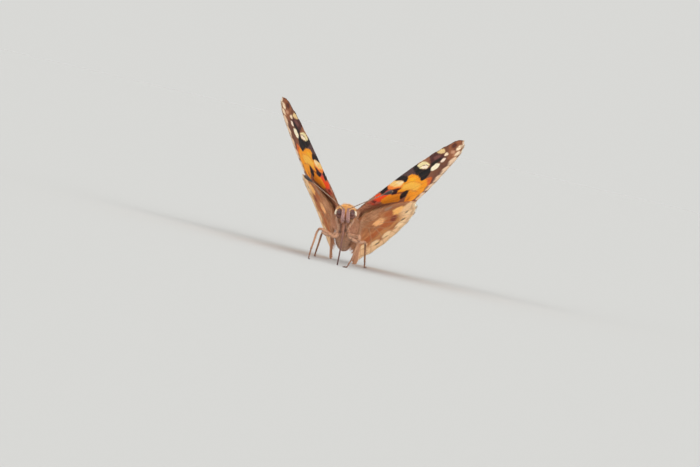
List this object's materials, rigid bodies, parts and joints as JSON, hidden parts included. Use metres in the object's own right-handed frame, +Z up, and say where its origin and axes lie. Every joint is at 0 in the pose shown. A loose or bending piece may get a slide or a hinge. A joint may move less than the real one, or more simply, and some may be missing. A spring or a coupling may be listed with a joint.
{
  "type": "painted lady butterfly",
  "caption": "Still, life-size painted lady butterfly standing with its patterned wings half raised in a V, its tongue lowered to the floor.",
  "frame": {"origin": "on the floor, under the middle of the whole animal's bounding box", "axes": "+Z up, the head faces -Y, the animal's left side is +X"},
  "size_m": [0.0368, 0.0386, 0.0282],
  "materials": {
    "body": "soft golden-brown hair",
    "tongue": "smooth dark brown",
    "eye": "glossy, finely faceted",
    "palp": "scaly, grey-mauve to cream",
    "feeler": "finely ringed, pale tip",
    "forewing": "scaly, orange with black and white marks",
    "hindwing": "scaly, marbled brown and cream below",
    "leg": "scaly pale brown"
  },
  "bodies": {
    "root": {"thorax": "body", "abdomen": "body", "head": "body", "proboscis": "tongue", "eye_left": "eye", "eye_right": "eye", "palp_left": "palp", "palp_right": "palp", "antenna_left": "feeler", "antenna_right": "feeler", "forewing_left": "forewing", "forewing_right": "forewing", "hindwing_left": "hindwing", "hindwing_right": "hindwing", "foreleg_left": "leg", "foreleg_right": "leg", "midleg_left": "leg", "midleg_right": "leg", "hindleg_left": "leg", "hindleg_right": "leg"}
  },
  "joints": []
}
